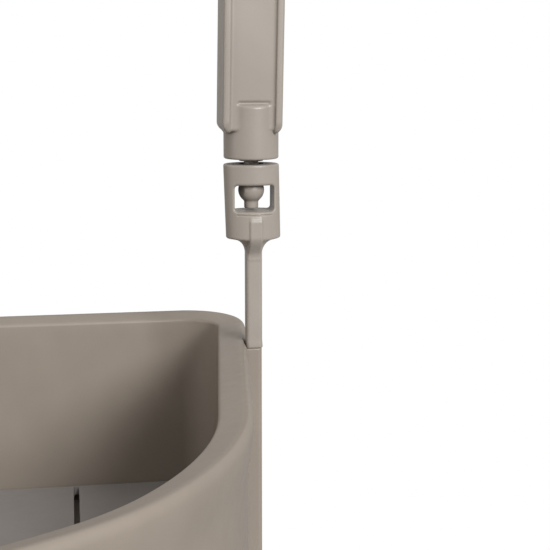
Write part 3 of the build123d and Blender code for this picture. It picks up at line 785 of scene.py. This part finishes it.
def hook_field(x, y, z):
    def arc_d(cy, cz, r, a0, a1):
        ang = np.arctan2(z - cz, y - cy)
        mid, half = (a0 + a1) / 2, (a1 - a0) / 2
        rel = (ang - mid + math.pi) % (2 * math.pi) - math.pi
        inside = np.abs(rel) <= half
        d = np.abs(np.hypot(y - cy, z - cz) - r)
        ends = [np.hypot(y - cy - r * math.cos(a), z - cz - r * math.sin(a)) for a in (a0, a1)]
        return np.where(inside, d, np.minimum(*ends))
    d = arc_d(0, 0, RC_H, 0, math.pi)
    d = np.minimum(d, arc_d(cm, 0, MOUTH, -PHI, 0))
    d = np.minimum(d, arc_d(cl[0], cl[1], r_low, math.pi - PHI, math.pi))
    low = np.where((z < cl[1]) & (z > cl[1] - 8), np.abs(y), np.hypot(y, np.minimum(np.abs(z - cl[1]), np.abs(z - cl[1] + 8))))
    d = np.minimum(d, low)
    out = both(d - 3.0, np.abs(x) - 5.5, 2.0)
    tip = both(np.hypot(y + RC_H, z) - 3.6, np.abs(x) - 5.5, 1.6)
    out = join(out, tip, 1.4)
    r = np.hypot(x, y)
    collar = both(r - (5.2 + np.clip((Z_NECK + 2.5 - z) / 6.5, 0, 1) * 2.8), slab(z, Z_COL, Z_NECK + 1.6), 0.7)
    out = join(out, collar, 2.2)
    out = cut(out, np.maximum(np.hypot(y, z) - 14.0, np.abs(x) - 8), 0.2)
    flats = np.abs(np.abs(x) - 8.9) - 1.3
    shank = both(r - 4.0, slab(z, Z_HUB1 - 22.0 + 3.2, Z_COL + 1.0), 0.3)
    return np.minimum(out, shank)


P, Q = polygonize(hook_field, steps((-8.6, 0.4), 8.6), steps((-21.4, 0.4), 21.0), steps((-73.0, 0.5), (-53.4, 0.3), (-36.0, 0.4), 21.0))
hook = build("hook_moulding", P, Q, M_ARM, "hook")
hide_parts("swivel_hook")

# soft liner in the hook
lin_sec = [(12.5, -4.1), (12.5, 4.1), (12.62, 4.38), (12.9, 4.5), (13.6, 4.5), (13.88, 4.38), (14.0, 4.1), (14.0, -4.1), (13.88, -4.38), (13.6, -4.5), (12.9, -4.5), (12.62, -4.38)]
pts, faces = [], []
NA = 60
for i in range(NA + 1):
    a = math.pi * i / NA
    for r, x in lin_sec:
        groove = 0.28 if (r < 12.7 and abs(x) < 4.2) and i % 6 == 3 else 0.0
        pts.append((x, (r + groove) * math.cos(a), (r + groove) * math.sin(a)))
m = len(lin_sec)
for i in range(NA):
    for k in range(m):
        j = (k + 1) % m
        faces.append((i * m + k, i * m + j, (i + 1) * m + j, (i + 1) * m + k))
faces.append(tuple(range(m)))
faces.append(tuple(NA * m + k for k in range(m))[::-1])
liner = build("hook_soft_liner", pts, faces, M_LINER, "hook")
shade(liner, 32)
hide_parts("hook_liner")


# ---- side posts --------------------------------------------------------------------------
def post_field(x, y, z):
    out = both(np.abs(y) - POST_D / 2, x - POST_OUT, 1.15)
    out = both(out, -(x - WALL_X), 0.25)
    out = both(out, slab(z, BASE - ZB + 0.4, ROD_END), 0.12)
    out = cut(out, both(np.hypot(x - X_ROD, y) - 1.27, -(z + 54.9), 0.0), 0.12)
    return out


P, Q = polygonize(post_field, steps((121.6, 0.2), 127.3), steps((-3.6, 0.2), 3.6), steps((-104.7, 0.2), (-103.1, 1.6), (-56.5, 0.4), (-54.0, 1.2), (-45.0, 0.2), -43.0))
for side, sgn in (("right", 1), ("left", -1)):
    R = P.copy()
    R[:, 0] *= sgn
    R[:, 2] += ZB
    ob = build("side_post_moulding_" + side, R, Q if sgn > 0 else Q[:, ::-1], M_BODY, "basket")
    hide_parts("side_post_" + side)

# ---- carried-over CAD nodes ------------------------------------------------------------------
finish = {
    "post_rivets": (M_PALE, 0.25), "hub_cap": (M_TRIM, 0.3),
    "hook_thrust_washer": (M_PALE, 0.15), "hook_lower_washer": (M_STEEL, 0.1), "hook_push_nut": (M_STEEL, 0.08),
    "stud_washer_left": (M_STEEL, 0.1), "stud_washer_right": (M_STEEL, 0.1),
    "stud_push_nut_left": (M_STEEL, 0.08), "stud_push_nut_right": (M_STEEL, 0.08),
}
for name, (mat, width) in finish.items():
    ob = NODES[name]
    ob.data.materials.clear()
    ob.data.materials.append(mat)
    shade(ob, 30)
    bevelled(ob, width, 2, 40)


# ---- stage, light and camera -------------------------------------------------------------------
def area(name, where, target, size, power, colour=(1, 1, 1), size_y=None):
    l = bpy.data.lights.new(name, "AREA")
    l.energy = power
    l.color = colour
    l.shape = "RECTANGLE" if size_y else "SQUARE"
    l.size = size
    if size_y:
        l.size_y = size_y
    o = bpy.data.objects.new(name, l)
    scene.collection.objects.link(o)
    o.location = where
    o.rotation_euler = (Vector(target) - Vector(where)).to_track_quat("-Z", "Y").to_euler()
    return o


centre = Vector((0.06, -0.02, -0.26))
key_dir = Vector((0.395, -0.82, 0.41)).normalized()
key = area("key_light", centre + key_dir * 3.2, centre, 1.10, 154.0, (0.985, 1.0, 1.02))

side_dir = Vector((-0.93, -0.30, 0.22)).normalized()
side = area("side_fill", centre + side_dir * 2.5, centre, 1.4, 22.0, (1.0, 0.97, 0.94))

# plain white surround; the light that it gives the object is softer than its look
world = bpy.data.worlds.new("studio")
scene.world = world
world.use_nodes = True
wn = world.node_tree
wn.nodes.clear()
wo = wn.nodes.new("ShaderNodeOutputWorld")
seen = wn.nodes.new("ShaderNodeBackground")
seen.inputs["Color"].default_value = (1.0, 1.0, 1.0, 1)
seen.inputs["Strength"].default_value = 1.0
fill = wn.nodes.new("ShaderNodeBackground")
fill.inputs["Color"].default_value = (1.0, 0.985, 0.965, 1)
turned = wn.nodes.new("ShaderNodeTexCoord")
split = wn.nodes.new("ShaderNodeSeparateXYZ")
wn.links.new(turned.outputs["Generated"], split.inputs[0])
parts = []
for axis, a, b, lo_v, hi_v in (("Z", -0.3, 0.8, 0.50, 1.05), ("Y", -0.9, 0.9, 1.06, 0.74)):
    rise = wn.nodes.new("ShaderNodeMapRange")
    for key_, v in (("From Min", a), ("From Max", b), ("To Min", lo_v), ("To Max", hi_v)):
        rise.inputs[key_].default_value = v
    wn.links.new(split.outputs[axis], rise.inputs["Value"])
    parts.append(rise.outputs[0])
prod = wn.nodes.new("ShaderNodeMath")
prod.operation = "MULTIPLY"
wn.links.new(parts[0], prod.inputs[0])
wn.links.new(parts[1], prod.inputs[1])
wn.links.new(prod.outputs[0], fill.inputs["Strength"])
path = wn.nodes.new("ShaderNodeLightPath")
pick = wn.nodes.new("ShaderNodeMixShader")
wn.links.new(path.outputs["Is Camera Ray"], pick.inputs[0])
wn.links.new(fill.outputs[0], pick.inputs[1])
wn.links.new(seen.outputs[0], pick.inputs[2])
wn.links.new(pick.outputs[0], wo.inputs[0])

# pale floor under the hanging caddy
me = bpy.data.meshes.new("studio_floor")
bm = bmesh.new()
bmesh.ops.create_grid(bm, x_segments=8, y_segments=8, size=0.9)
for v in bm.verts:
    v.co.z = -1.30
bm.to_mesh(me)
bm.free()
floor = bpy.data.objects.new("studio_floor", me)
scene.collection.objects.link(floor)
t = Tree("studio_pale")
col = t.mix(t.span(t.noise(3.0, 2.0, 0.5), 0.0, 1.0, 0.4, 0.6), (0.80, 0.80, 0.80), (0.83, 0.83, 0.83))
t.link(col, t.bsdf.inputs["Base Color"])
t.bsdf.inputs["Roughness"].default_value = 0.9
me.materials.append(t.mat)

cam_data = bpy.data.cameras.new("camera")
cam_data.lens = 79.85
cam_data.sensor_width = 36.0
cam_data.clip_start = 0.01
cam_data.clip_end = 50.0
cam = bpy.data.objects.new("camera", cam_data)
scene.collection.objects.link(cam)
cam.location = (0.0770, -0.3213, -0.2000)
cam.rotation_euler = (math.radians(79.596), 0.0, math.radians(-9.474))
scene.camera = cam

scene.view_settings.view_transform = "Standard"
scene.view_settings.look = "None"
scene.view_settings.exposure = 0.0
scene.view_settings.gamma = 1.0
